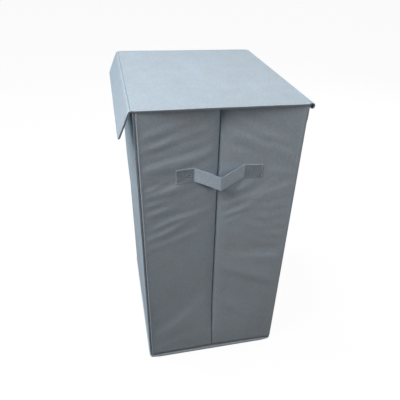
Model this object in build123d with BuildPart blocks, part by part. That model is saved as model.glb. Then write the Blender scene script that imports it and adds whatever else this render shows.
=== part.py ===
"""Folding laundry hamper with a hinged lid.

A tall fabric box whose walls are boards sewn between an outer cover and a lining.
The two side walls are gussets: each is a pair of half panels that folds inwards along
its middle, so that the front wall closes up against the back wall. The lid turns on a
rolled hem at the top of the back wall and carries a stiffened flap along its front edge.

Frame: +Z up, front wall towards -Y, gussets at +X and -X, origin on the floor under the
middle of the base. All sizes are in millimetres.
"""

import os
from math import acos, atan2, cos, degrees, hypot, radians, sin

from build123d import *

os.makedirs("parts", exist_ok=True)

# Overall sizes
body_width = 385.0  # along X, over the gussets where they meet the front and back
body_depth = 300.0  # along Y, over the front and back walls
body_height = 600.0  # floor to the top edge of the walls

# Cloth and board
cover_cloth = 0.8
lining_cloth = 0.7
wall_board = 2.0
lid_board = 2.8
base_board = 3.0
edge_ease = 0.6  # cloth drawn over the edges of a board
panel_corner = 2.0  # corner radius of a wall panel's outline

# Running clearances
fold_clearance = 0.5  # a folding panel to the wall or rim beside it
seam_gap = 0.4  # each half gusset to the middle of its fold
face_clearance = 0.3  # outer faces of a gusset's halves, folded shut, to their mid plane

# Gusset fold
rest_fold = 7.0  # degrees that each half leans in as the hamper stands open
shut_fold = 82.0  # degrees that each half leans in when the hamper is folded away

# Base
bottom_cloth = 1.0
rim_height = 6.5
rim_width = 2.0
rim_proud = 0.8  # the rim stands out past the walls
rim_corner = 4.0
insert_clearance = 0.8
insert_corner = 3.0

# Seam ridges beside the upright corners
ridge_width = 3.0
ridge_height = 1.4
ridge_inset = 1.2

# Lid
lid_side_overhang = 4.0
lid_front_overhang = 2.6
lid_gap = 0.5  # underside of the lid to the top of the walls
lid_corner = 5.0
hinge_roll_radius = 5.2
hinge_cloth = 1.0
hinge_strip_height = 28.0
hinge_clearance = 0.4
lid_open = 245.0  # degrees

# Flap along the lid's front edge
flap_length = 49.0
flap_board = 1.8
flap_corner = 4.0
flap_lean = 24.0  # degrees out from hanging straight down
crease_radius = 1.5
crease_clearance = 0.3

# Carrying straps, one across each gusset's fold
strap_width = 27.0
strap_cloth = 1.2
strap_top = 491.5  # height of the sewn ends' upper edge
strap_patch = 35.0  # length of each sewn end
strap_reach = 46.0  # fold to the inner edge of a sewn end
strap_bow = 14.0  # how far the middle stands out past the sewn ends
strap_droop = 15.5  # how far the middle hangs below the sewn ends
strap_clearance = 0.35
patch_corner = 2.0

# Values that follow from the sizes above
wall_thick = cover_cloth + wall_board + lining_cloth
lid_thick = cover_cloth + lid_board + lining_cloth
flap_thick = cover_cloth + flap_board + lining_cloth
wall_bottom = rim_height + fold_clearance
wall_height = body_height - wall_bottom
wall_middle = wall_bottom + wall_height / 2

inner_x = body_width / 2 - wall_thick  # inner face of a gusset, unfolded
inner_y = body_depth / 2 - wall_thick  # inner face of the front and back walls
corner_y = inner_y - fold_clearance  # corner fold axes
fold_offset = wall_thick + face_clearance  # middle fold axis from a half's inner face
half_length = (corner_y - fold_offset * sin(radians(rest_fold))) / cos(radians(rest_fold))


def fold_x(fold):
    """Place of the middle fold's axis along +X, with each half leaning in by fold degrees."""
    return inner_x + fold_offset * cos(radians(fold)) - half_length * sin(radians(fold))


hinge_y = body_depth / 2 + hinge_roll_radius
lid_bottom = body_height + lid_gap
lid_top = lid_bottom + lid_thick
hinge_z = lid_top - hinge_roll_radius
lid_front = -(body_depth / 2 + lid_front_overhang)
lid_back = hinge_y - hinge_roll_radius - hinge_clearance
lid_width = body_width + 2 * lid_side_overhang

crease_y = lid_front - flap_thick / 2 - crease_clearance
crease_z = lid_bottom + lid_thick / 2
flap_start = crease_radius + crease_clearance

strap_axis_height = 1.5 * strap_cloth  # strap fold axis above the gusset's outer face
strap_bottom = strap_top - strap_width


def half_point(along, out, fold):
    """Plan place of a point on the +X, +Y half gusset.

    along runs from the corner axis towards the fold, out from the inner face outwards.
    """
    lean = radians(fold)
    x = inner_x + out * cos(lean) - along * sin(lean)
    y = corner_y - out * sin(lean) - along * cos(lean)
    return x, y


def strap_pivot(fold):
    """Plan place of the strap's fold axis at the inner edge of the +X, +Y sewn end."""
    return half_point(half_length - strap_reach, wall_thick + strap_axis_height, fold)


def strap_span(fold):
    """Distance of that strap axis from the plane that the gusset folds about."""
    return strap_pivot(fold)[1] - half_point(half_length, fold_offset, fold)[1]


pivot_x, pivot_y = strap_pivot(rest_fold)
strap_run = hypot(strap_bow, pivot_y)  # plan length of half the strap
strap_rest_angle = degrees(atan2(strap_bow, pivot_y))
strap_shut_span = strap_span(shut_fold) - strap_cloth / 2 - strap_clearance
strap_shut_angle = degrees(acos(strap_shut_span / strap_run))
fold_travel = shut_fold - rest_fold
strap_ratio = 1 + (strap_shut_angle - strap_rest_angle) / fold_travel


def save(part, name):
    """Label a finished piece and write it under its own name."""
    part.label = name
    export_step(part, f"parts/{name}.step")


def sewn_panel(name, plane, width, height, board, corner):
    """Write a cover, a board and a lining, as one flat panel.

    plane lies on the panel's inner face, at its middle, with its normal pointing outwards.
    """
    outwards = Axis(plane.origin, plane.z_dir)
    board_plane = plane.offset(lining_cloth)
    board_width = width - 2 * cover_cloth
    board_height = height - 2 * cover_cloth
    board_corner = corner - cover_cloth

    with BuildPart() as lining:
        with BuildSketch(plane):
            RectangleRounded(width, height, corner)
        extrude(amount=lining_cloth)
    save(lining.part, f"{name}_lining")

    with BuildPart() as stiffener:
        with BuildSketch(board_plane):
            RectangleRounded(board_width, board_height, board_corner)
        extrude(amount=board)
    save(stiffener.part, f"{name}_board")

    with BuildPart() as cover:
        with BuildSketch(board_plane):
            RectangleRounded(width, height, corner)
        extrude(amount=board + cover_cloth)
        chamfer(cover.faces().sort_by(outwards)[-1].edges(), edge_ease)
        with BuildSketch(board_plane):
            RectangleRounded(board_width, board_height, board_corner)
        extrude(amount=board, mode=Mode.SUBTRACT)
    save(cover.part, f"{name}_cover")


# Front and back walls
for wall, face in (("front", -1), ("back", 1)):
    wall_plane = Plane((0, face * inner_y, wall_middle), x_dir=(-face, 0, 0), z_dir=(0, face, 0))
    sewn_panel(wall, wall_plane, body_width, wall_height, wall_board, panel_corner)

# Side gussets: on each side a front half and a rear half, standing a little folded
for side, across in (("right", 1), ("left", -1)):
    for end, face in (("rear", 1), ("front", -1)):
        half = f"{side}_{end}_gusset"
        lean = radians(rest_fold)
        outward = Vector(across * cos(lean), -face * sin(lean), 0)
        along = Vector(-across * sin(lean), -face * cos(lean), 0)
        corner_axis = Vector(across * inner_x, face * corner_y, wall_middle)
        panel_length = half_length - seam_gap
        upright = Vector(0, 0, 1)
        level = upright.cross(outward)
        panel_plane = Plane(
            corner_axis + along * (panel_length / 2), x_dir=level, z_dir=outward
        )
        sewn_panel(half, panel_plane, panel_length, wall_height, wall_board, panel_corner)

        # Pinched seam that stands up along the half's outer edge, beside the corner
        foot = Vector(across * inner_x, face * corner_y, wall_bottom)
        ridge_middle = foot + along * (ridge_inset + ridge_width / 2) + outward * wall_thick
        with BuildPart() as ridge:
            with BuildSketch(Plane(ridge_middle, x_dir=outward, z_dir=(0, 0, 1))):
                Rectangle(ridge_height, ridge_width, align=(Align.MIN, Align.CENTER))
            extrude(amount=wall_height)
            crests = ridge.edges().filter_by(Axis.Z).sort_by(Axis(ridge_middle, outward))[-2:]
            fillet(crests, 0.9 * ridge_height)
        save(ridge.part, f"{half}_seam")

        # Sewn end of the carrying strap
        patch_along = half_length - strap_reach - strap_cloth / 2 - strap_clearance
        patch_middle = foot + along * (patch_along - strap_patch / 2) + outward * wall_thick
        patch_middle = Vector(patch_middle.X, patch_middle.Y, strap_bottom + strap_width / 2)
        with BuildPart() as patch:
            with BuildSketch(Plane(patch_middle, x_dir=level, z_dir=outward)):
                RectangleRounded(strap_patch, strap_width, patch_corner)
            extrude(amount=strap_cloth)
        save(patch.part, f"{side}_{end}_strap_end")

        # Free half of the strap, from the sewn end out and down to the crease in the middle
        pivot = Vector(across * pivot_x, face * pivot_y, strap_bottom)
        lead = radians(strap_rest_angle)
        forth = Vector(across * sin(lead), -face * cos(lead), 0)
        free_run = strap_run - strap_clearance - strap_cloth / 2 * sin(lead)
        drop = strap_droop * free_run / strap_run
        sideways = forth.cross(upright)
        with BuildPart() as strap:
            with BuildSketch(Plane(pivot, x_dir=forth, z_dir=sideways)):
                with BuildLine():
                    Polyline(
                        (0, 0),
                        (free_run, -drop),
                        (free_run, strap_width - drop),
                        (0, strap_width),
                        close=True,
                    )
                make_face()
            extrude(amount=strap_cloth / 2, both=True)
            with BuildSketch(Plane(pivot)):
                Circle(strap_cloth / 2)
            extrude(amount=strap_width)
        save(strap.part, f"{side}_{end}_strap")

# Bottom: a cloth sheet inside a bound rim, with a loose stiff insert lying in it
rim_x = body_width + 2 * rim_proud
rim_y = body_depth + 2 * rim_proud
floor_x = rim_x - 2 * rim_width
floor_y = rim_y - 2 * rim_width
insert_x = floor_x - 2 * insert_clearance
insert_y = floor_y - 2 * insert_clearance

with BuildPart() as bottom_rim:
    with BuildSketch():
        RectangleRounded(rim_x, rim_y, rim_corner)
        RectangleRounded(floor_x, floor_y, rim_corner - rim_width, mode=Mode.SUBTRACT)
    extrude(amount=rim_height)
    chamfer(bottom_rim.faces().sort_by(Axis.Z)[-1].outer_wire().edges(), edge_ease)
save(bottom_rim.part, "bottom_rim")

with BuildPart() as bottom_sheet:
    with BuildSketch():
        RectangleRounded(floor_x, floor_y, rim_corner - rim_width)
    extrude(amount=bottom_cloth)
save(bottom_sheet.part, "bottom_sheet")

with BuildPart() as insert_board:
    with BuildSketch(Plane.XY.offset(bottom_cloth)):
        RectangleRounded(
            insert_x - 2 * cover_cloth, insert_y - 2 * cover_cloth, insert_corner - cover_cloth
        )
    extrude(amount=base_board)
save(insert_board.part, "base_insert_board")

with BuildPart() as insert_cover:
    with BuildSketch(Plane.XY.offset(bottom_cloth)):
        RectangleRounded(insert_x, insert_y, insert_corner)
    extrude(amount=base_board + cover_cloth)
    chamfer(insert_cover.faces().sort_by(Axis.Z)[-1].edges(), edge_ease)
    with BuildSketch(Plane.XY.offset(bottom_cloth)):
        RectangleRounded(
            insert_x - 2 * cover_cloth, insert_y - 2 * cover_cloth, insert_corner - cover_cloth
        )
    extrude(amount=base_board, mode=Mode.SUBTRACT)
save(insert_cover.part, "base_insert_cover")

# Lid
lid_depth = lid_back - lid_front
lid_plane = Plane((0, (lid_front + lid_back) / 2, lid_bottom))
sewn_panel("lid", lid_plane, lid_width, lid_depth, lid_board, lid_corner)

# Rolled hem that the lid turns on, with the strip that sews it to the back wall
with BuildPart() as hinge_hem:
    with BuildSketch(Plane.YZ.offset(-body_width / 2)):
        with Locations((hinge_y, hinge_z)):
            Circle(hinge_roll_radius)
        with Locations((body_depth / 2, hinge_z)):
            Rectangle(hinge_cloth, hinge_strip_height, align=(Align.MIN, Align.MAX))
        with Locations((hinge_y, hinge_z)):
            Circle(hinge_roll_radius - hinge_cloth, mode=Mode.SUBTRACT)
    extrude(amount=body_width)
save(hinge_hem.part, "lid_hinge_hem")

# Flap: a narrow panel hung from a rolled crease along the lid's front edge
with BuildPart() as flap_crease:
    with BuildSketch(Plane.YZ.offset(-lid_width / 2 + lid_corner)):
        with Locations((crease_y, crease_z)):
            Circle(crease_radius)
    extrude(amount=lid_width - 2 * lid_corner)
save(flap_crease.part, "flap_crease")

hang = radians(flap_lean)
flap_down = Vector(0, -sin(hang), -cos(hang))
flap_out = Vector(0, -cos(hang), sin(hang))
flap_middle = (
    Vector(0, crease_y, crease_z)
    + flap_down * (flap_start + (flap_length - flap_start) / 2)
    - flap_out * (flap_thick / 2)
)
flap_plane = Plane(flap_middle, x_dir=(1, 0, 0), z_dir=flap_out)
sewn_panel("flap", flap_plane, lid_width, flap_length - flap_start, flap_board, flap_corner)
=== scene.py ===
"""Looks of a folding laundry hamper with a lid.

The hamper is non-woven cloth over board: a front and a back wall, two side gussets that
fold inwards along their middle, a lid that turns on a rolled hem and a flap along the lid's
front edge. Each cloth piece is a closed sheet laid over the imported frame, with the creases
that the cloth keeps from being folded. Sizes are in millimetres unless a name says metres.
"""

import logging
import math
from dataclasses import dataclass, field
from enum import Enum
from functools import partial
from typing import Callable, ClassVar, Sequence

import bpy
import numpy as np
from mathutils import Matrix, Vector

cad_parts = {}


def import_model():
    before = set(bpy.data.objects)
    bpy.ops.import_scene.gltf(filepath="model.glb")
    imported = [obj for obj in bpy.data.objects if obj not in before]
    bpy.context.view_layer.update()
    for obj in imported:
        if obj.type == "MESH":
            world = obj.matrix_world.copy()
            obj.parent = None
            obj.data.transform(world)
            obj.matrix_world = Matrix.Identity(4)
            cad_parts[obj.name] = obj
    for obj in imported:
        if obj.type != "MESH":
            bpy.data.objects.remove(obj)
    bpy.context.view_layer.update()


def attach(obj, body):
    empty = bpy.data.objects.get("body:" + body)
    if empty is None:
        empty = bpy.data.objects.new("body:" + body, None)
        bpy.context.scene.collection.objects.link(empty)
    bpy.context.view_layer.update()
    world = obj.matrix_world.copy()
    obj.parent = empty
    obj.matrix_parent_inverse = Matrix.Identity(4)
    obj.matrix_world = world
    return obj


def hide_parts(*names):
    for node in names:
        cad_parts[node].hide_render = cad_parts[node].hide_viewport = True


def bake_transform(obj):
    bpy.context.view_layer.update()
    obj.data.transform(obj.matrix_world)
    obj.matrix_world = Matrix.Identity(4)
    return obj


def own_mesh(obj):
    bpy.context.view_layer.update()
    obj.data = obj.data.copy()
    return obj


LOG = logging.getLogger("hamper")
MM = 0.001

Array = np.ndarray
Surface = Callable[[Array, Array], Array]
Colour = tuple[float, float, float]
Place = tuple[float, float, float]
Span = tuple[float, float]
Feeds = dict[str | int, object]
Socket = bpy.types.NodeSocket


class Side(Enum):
    """The two gussets, by the sign of their place along X."""

    RIGHT = 1
    LEFT = -1

    @property
    def word(self) -> str:
        """The side's name as the frame's bodies spell it."""
        return self.name.lower()


class End(Enum):
    """The two halves of a gusset, by the sign of their place along Y."""

    REAR = 1
    FRONT = -1

    @property
    def word(self) -> str:
        """The end's name as the frame's bodies spell it."""
        return self.name.lower()


@dataclass(frozen=True)
class HamperSizes:
    """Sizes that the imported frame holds, in millimetres and degrees."""

    width: float = 385.0
    depth: float = 300.0
    height: float = 600.0
    wall: float = 3.5
    wall_bottom: float = 7.0
    corner_x: float = 189.0
    corner_y: float = 146.0
    cloth_corner_y: float = 145.6
    rest_fold: float = 7.0
    fold_x: float = 174.902
    rim_height: float = 6.5
    rim_width: float = 2.0
    rim_proud: float = 0.8
    insert_top: float = 4.8
    lid_half: float = 196.5
    lid_bottom: float = 600.5
    lid_top: float = 604.8
    hinge_y: float = 155.2
    hinge_z: float = 599.6
    hinge_radius: float = 5.2
    crease_y: float = -154.55
    crease_z: float = 602.65
    flap_thick: float = 3.3
    flap_lean: float = 24.0
    strap_top: float = 491.5
    strap_width: float = 27.0
    strap_patch: float = 35.0
    strap_pivot_x: float = 181.997
    strap_pivot_y: float = 45.474
    strap_bow: float = 14.0
    strap_droop: float = 15.5
    fold_travel: float = 243.66

    @property
    def corner_out(self) -> float:
        """Place along X of a gusset's outer face at its corner."""
        return self.corner_x + self.wall * math.cos(math.radians(self.rest_fold))

    @property
    def unfolded(self) -> float:
        """Measure on the unfolded gusset for each millimetre along Y."""
        return self.corner_y / self.cloth_corner_y


SIZES = HamperSizes()
LAYERS = ("cover", "board", "lining")
HEM_LEVELS = (17.0, 593.0)
TUCK_DEPTH = 3.0
TUCK_HEIGHTS = (12.6, 10.6)
TUCK_ROWS = (7.0, 8.8, 10.6, 11.1, 11.6, 12.1, 12.6)
SEAM_ROWS = np.concatenate([[7.2], np.linspace(10.0, 597.0, 120), [599.8]])
SOFT_ANGLE = 50.0
SHARP_ANGLE = 60.0


def smooth_step(low: float, high: float, value: Array) -> Array:
    """Ease from 0 at low to 1 at high.

    Args:
        low: Where the ramp starts.
        high: Where the ramp ends.
        value: Places along the ramp.

    Returns:
        The eased share at each place.
    """
    share = np.clip((value - low) / (high - low), 0.0, 1.0)
    return share * share * (3.0 - 2.0 * share)


def bottom_tuck(up: Array) -> Array:
    """How far the walls' cloth draws in where it is sewn down to the rim.

    Args:
        up: Heights above the floor.

    Returns:
        The depth of the dark line above the rim at each height.
    """
    return TUCK_DEPTH * smooth_step(*TUCK_HEIGHTS, up)


def flat_measure(points: Array) -> Array:
    """How far along a line each of its points lies.

    Args:
        points: The line's points, in order.

    Returns:
        The length of the line up to each point.
    """
    steps = np.linalg.norm(np.diff(points, axis=0), axis=1)
    return np.concatenate([[0.0], np.cumsum(steps)])


def along_line(flat: Array, values: Array, along: Array) -> Array:
    """Read what is known at a line's points at other places along it.

    Args:
        flat: How far along the line each point lies.
        values: A row of numbers for each point.
        along: Places along the line.

    Returns:
        A row of numbers for each place.
    """
    return np.column_stack([np.interp(along, flat, column) for column in values.T])


def edged(half: float, margin: float, count: int) -> Array:
    """Places across a sheet, evenly spread between two margins.

    Args:
        half: Half the sheet's width.
        margin: Width of the margin along each edge.
        count: How many places lie between the margins.

    Returns:
        The places, from one edge to the other.
    """
    return np.concatenate([[-half], np.linspace(margin - half, half - margin, count), [half]])


def wall_rows(low: float, high: float, count: int) -> Array:
    """Heights of a wall's rows: close where the cloth tucks in, evenly spread above.

    Args:
        low: The lowest of the evenly spread rows.
        high: The highest of them.
        count: How many of them there are.

    Returns:
        The heights, from the wall's lower edge to its top.
    """
    return np.concatenate([TUCK_ROWS, np.linspace(low, high, count), [SIZES.height]])


def waver(along: Array, *waves: tuple[float, float, float]) -> Array:
    """How far a line strays from its course.

    Args:
        along: Places along the line.
        waves: For each wave its height, its length for a radian and its phase.

    Returns:
        The sum of the waves at each place.
    """
    return sum(rise * np.sin(along / length + phase) for rise, length, phase in waves)


@dataclass(frozen=True)
class Crease:
    """A soft ridge that the cloth keeps, from one point of a panel to another.

    The fields from steep to fade_reach are shares of the ridge's spread.
    """

    start: tuple[float, float]
    end: tuple[float, float]
    spread: float = 7.0
    rise: float = 1.4
    bow: float = 0.0
    steep: float = 0.75
    slack: float = 1.4
    wander: float = 0.3
    wander_pitch: float = 2.9
    uneven_pitch: float = 4.3
    trough_place: float = 1.6
    fade_reach: float = 2.0
    trough_depth: float = 0.4
    end_rise: float = 0.4
    unevenness: float = 0.22
    phase_rates: Span = (0.13, 0.07)

    def height(self, across: Array, up: Array) -> Array:
        """How far the cloth stands out for this ridge.

        Args:
            across: Places along the panel's width.
            up: Places along the panel's height.

        Returns:
            The ridge's height at each place: steep above its crest, slack below it.
        """
        spread = self.spread
        run = np.array(self.end, dtype=float) - np.array(self.start, dtype=float)
        length = float(np.hypot(*run))
        sideways, upwards = self.phase_rates
        phase = sideways * self.start[0] + upwards * self.start[1]
        along = ((across - self.start[0]) * run[0] + (up - self.start[1]) * run[1]) / length
        aside = ((up - self.start[1]) * run[0] - (across - self.start[0]) * run[1]) / length
        share = np.clip(along / length, 0.0, 1.0)
        aside = aside - self.bow * 4.0 * share * (1.0 - share)
        aside = aside + self.wander * spread * np.sin(along / (self.wander_pitch * spread) + phase)
        width = np.where(aside > 0, self.steep * spread, self.slack * spread)
        past = np.maximum(np.maximum(-along, along - length), 0.0)
        swell = self.end_rise + (1.0 - self.end_rise) * np.sin(np.pi * share)
        fade = np.exp(-((past / (self.fade_reach * spread)) ** 2)) * swell
        wave = np.sin(along / (self.uneven_pitch * spread) + 2.0 * phase)
        fade = fade * (1.0 - self.unevenness + self.unevenness * wave)
        beside = (aside - self.trough_place * spread) / spread
        ridge = np.exp(-((aside / width) ** 2)) - self.trough_depth * np.exp(-(beside**2))
        return self.rise * fade * ridge


@dataclass(frozen=True)
class Drape:
    """A patchy family of fine wrinkles that all run one way."""

    angle: float
    pitch: float = 30.0
    rise: float = 0.3
    phase: float = 0.0
    calm_below: float = 260.0
    calm_fade: float = 110.0
    calm_share: float = 0.2
    patch_length: float = 52.0
    patch_width: float = 71.0
    patch_edge: Span = (-0.1, 0.8)
    stray: Span = (5.0, 37.0)
    fine_stray: Span = (2.0, 13.0)
    sway: Span = (0.8, 29.0)

    def height(self, across: Array, up: Array) -> Array:
        """How far the cloth stands out for these wrinkles.

        Args:
            across: Places along the panel's width.
            up: Places along the panel's height.

        Returns:
            The wrinkles' height at each place, with calm cloth between the patches.
        """
        turn = math.radians(self.angle)
        lively = smooth_step(self.calm_below, self.calm_below + self.calm_fade, up)
        share = self.calm_share + (1.0 - self.calm_share) * lively
        along = across * math.cos(turn) + up * math.sin(turn)
        aside = up * math.cos(turn) - across * math.sin(turn)
        aside = aside + waver(along, (*self.stray, self.phase))
        aside = aside + waver(along, (*self.fine_stray, 0.0))
        patch = np.sin(along / self.patch_length + self.phase)
        patch = patch * np.sin(aside / self.patch_width + 1.3 * self.phase)
        patch = smooth_step(*self.patch_edge, patch)
        wave = np.sin(2.0 * math.pi * aside / self.pitch + waver(along, (*self.sway, 0.0)))
        return self.rise * share * patch * wave


@dataclass(frozen=True)
class Ripple:
    """Slow waves all over a panel, from a few sines with set phases.

    A row of WAVES is a sine's share of the height, its turns across and up for each pitch,
    its own phase and how many times it takes the ripple's phase.
    """

    WAVES: ClassVar[tuple[tuple[float, ...], ...]] = (
        (0.5, 0.62, 0.41, 0.0, 1.0),
        (0.3, -0.83, 0.97, 1.7, 2.3),
        (0.2, 1.67, 1.21, 0.6, 1.1),
    )
    rise: float = 0.5
    pitch: float = 120.0
    phase: float = 0.0

    def height(self, across: Array, up: Array) -> Array:
        """How far the cloth stands out for these waves.

        Args:
            across: Places along the panel's width.
            up: Places along the panel's height.

        Returns:
            The waves' height at each place.
        """
        turn = 2.0 * math.pi / self.pitch
        total = np.zeros_like(across)
        for share, sideways, upwards, own, times in self.WAVES:
            angle = turn * (sideways * across + upwards * up) + own + times * self.phase
            total = total + share * np.sin(angle)
        return self.rise * total


@dataclass(frozen=True)
class Relief:
    """All the creases and ripples of one cloth face."""

    creases: Sequence[Crease] = ()
    ripples: Sequence[Ripple | Drape] = ()

    def height(self, across: Array, up: Array) -> Array:
        """Sum the creases and the ripples.

        Args:
            across: Places along the panel's width.
            up: Places along the panel's height.

        Returns:
            How far the cloth stands out at each place.
        """
        total = np.zeros_like(across)
        for part in (*self.creases, *self.ripples):
            total = total + part.height(across, up)
        return total


class Workbench:
    """The operators that every piece is modelled with."""

    @staticmethod
    def clear_selection() -> None:
        """Leave nothing selected, so that an operator touches only what is chosen next."""
        if bpy.context.object and bpy.context.object.mode != "OBJECT":
            bpy.ops.object.mode_set(mode="OBJECT")
        bpy.ops.object.select_all(action="DESELECT")

    @classmethod
    def choose(cls, piece: bpy.types.Object) -> None:
        """Make a piece the only selected and active one.

        Args:
            piece: The piece to choose.
        """
        cls.clear_selection()
        piece.select_set(True)
        bpy.context.view_layer.objects.active = piece

    @classmethod
    def apply(cls, piece: bpy.types.Object) -> None:
        """Apply all the modifiers of a piece, in order."""
        cls.choose(piece)
        for modifier in list(piece.modifiers):
            bpy.ops.object.modifier_apply(modifier=modifier.name)

    @classmethod
    def soften(cls, piece: bpy.types.Object, width: float, segments: int) -> None:
        """Round the sharp edges of a piece.

        Args:
            piece: The piece to round.
            width: How far the rounding reaches from an edge.
            segments: How many faces the rounding has.
        """
        soft = piece.modifiers.new("soft_edge", "BEVEL")
        soft.width = width * MM
        soft.segments = segments
        soft.limit_method = "ANGLE"
        soft.angle_limit = math.radians(SOFT_ANGLE)
        cls.apply(piece)

    @classmethod
    def settle(cls, piece: bpy.types.Object, angle: float = 40.0) -> None:
        """Put a piece's place into its mesh, shade it smooth and report it.

        Args:
            piece: The piece to finish.
            angle: Edges sharper than this many degrees stay sharp.
        """
        cls.choose(piece)
        bpy.ops.object.transform_apply(location=True, rotation=True, scale=True)
        bpy.ops.object.shade_smooth_by_angle(angle=math.radians(angle))
        cls.clear_selection()
        LOG.info("built %s with %d faces", piece.name, len(piece.data.polygons))

    @classmethod
    def join(cls, pieces: Sequence[bpy.types.Object], name: str) -> bpy.types.Object:
        """Make one object of several.

        Args:
            pieces: What to join; the first one keeps its materials' order.
            name: The joined object's name.

        Returns:
            The joined object.
        """
        cls.choose(pieces[0])
        for piece in pieces:
            piece.select_set(True)
        if len(pieces) > 1:
            bpy.ops.object.join()
        whole = bpy.context.view_layer.objects.active
        whole.name = name
        whole.data.name = name
        cls.clear_selection()
        return whole


@dataclass
class ClothSheet:
    """A closed sheet of cloth between an outer and an inner surface.

    outer and inner give a place in millimetres for each pair of columns and rows, which
    are also the sheet's flat measures.
    """

    name: str
    columns: Array
    rows: Array
    outer: Surface
    inner: Surface
    round_edge: float = 1.0
    # Heights that also paint the colour: raised crease ridges are painted lighter as a highlight;
    # the strap gives the mask of its painted shade instead.
    crease: Surface | None = None

    def build(self, face: bpy.types.Material, lining: bpy.types.Material) -> bpy.types.Object:
        """Model the sheet from a grid, give it its thickness and round its edges.

        Args:
            face: The outer face's material.
            lining: The inner face's material.

        Returns:
            The finished sheet.
        """
        wide, tall = len(self.columns) - 1, len(self.rows) - 1
        Workbench.clear_selection()
        bpy.ops.mesh.primitive_grid_add(x_subdivisions=wide, y_subdivisions=tall, size=1.0)
        piece = bpy.context.object
        piece.name = self.name
        piece.data.name = self.name
        mesh = piece.data
        count = len(mesh.vertices)
        flat = np.zeros(count * 3)
        mesh.vertices.foreach_get("co", flat)
        flat = flat.reshape(-1, 3)
        column = np.rint((flat[:, 0] + 0.5) * wide).astype(int)
        row = np.rint((flat[:, 1] + 0.5) * tall).astype(int)
        across, up = self.columns[column], self.rows[row]
        self._measure(mesh, across, up)
        mesh.materials.append(face)
        mesh.materials.append(lining)
        skin = piece.modifiers.new("thickness", "SOLIDIFY")
        skin.thickness = MM
        skin.offset = -1.0
        skin.material_offset = 1
        Workbench.apply(piece)
        places = np.concatenate([self.outer(across, up), self.inner(across, up)]) * MM
        mesh.vertices.foreach_set("co", places.ravel())
        self._measure_edges(mesh, places, count)
        self._face_outwards(piece)
        if self.round_edge > 0:
            Workbench.soften(piece, self.round_edge, segments=3)
        Workbench.settle(piece, SHARP_ANGLE)
        return piece

    def _measure(self, mesh: bpy.types.Mesh, across: Array, up: Array) -> None:
        """Write flat measures in metres to the UV map and crease heights to an attribute, from
        which the materials paint a highlight on crease ridges and shade on the strap's sewn end.

        Args:
            mesh: The flat grid.
            across: Each point's place along the sheet's width.
            up: Each point's place along the sheet's height.
        """
        layer = mesh.uv_layers.active or mesh.uv_layers.new(name="cloth")
        layer.name = "cloth"
        corners = np.zeros(len(mesh.loops), dtype=np.int32)
        mesh.loops.foreach_get("vertex_index", corners)
        flat = np.column_stack([across[corners], up[corners]]) * MM
        layer.data.foreach_set("uv", flat.ravel())
        # This attribute carries the painted light: a highlight on crease ridges, and the strap's
        # painted shade.
        painted_light = mesh.attributes.new("crease", "FLOAT", "POINT")
        heights = np.zeros_like(across) if self.crease is None else self.crease(across, up)
        painted_light.data.foreach_set("value", np.asarray(heights, dtype=np.float32))

    @staticmethod
    def _measure_edges(mesh: bpy.types.Mesh, places: Array, count: int) -> None:
        """Carry the flat measures on across the faces that close the sheet's edge.

        Args:
            mesh: The sheet with its thickness.
            places: Its points in metres, the outer face's first.
            count: How many points the outer face has.
        """
        layer = mesh.uv_layers["cloth"]
        thick = np.linalg.norm(places[:count] - places[count:], axis=1)
        for face in mesh.polygons:
            inside = [mesh.loops[i].vertex_index >= count for i in face.loop_indices]
            if all(inside) or not any(inside):
                continue
            for loop, within in zip(face.loop_indices, inside):
                if within:
                    step = thick[mesh.loops[loop].vertex_index - count]
                    layer.data[loop].uv += Vector((step, step))

    @staticmethod
    def _face_outwards(piece: bpy.types.Object) -> None:
        """Turn every face of a closed sheet outwards.

        Args:
            piece: The sheet.
        """
        Workbench.choose(piece)
        bpy.ops.object.mode_set(mode="EDIT")
        bpy.ops.mesh.select_all(action="SELECT")
        bpy.ops.mesh.normals_make_consistent(inside=False)
        bpy.ops.object.mode_set(mode="OBJECT")


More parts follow.
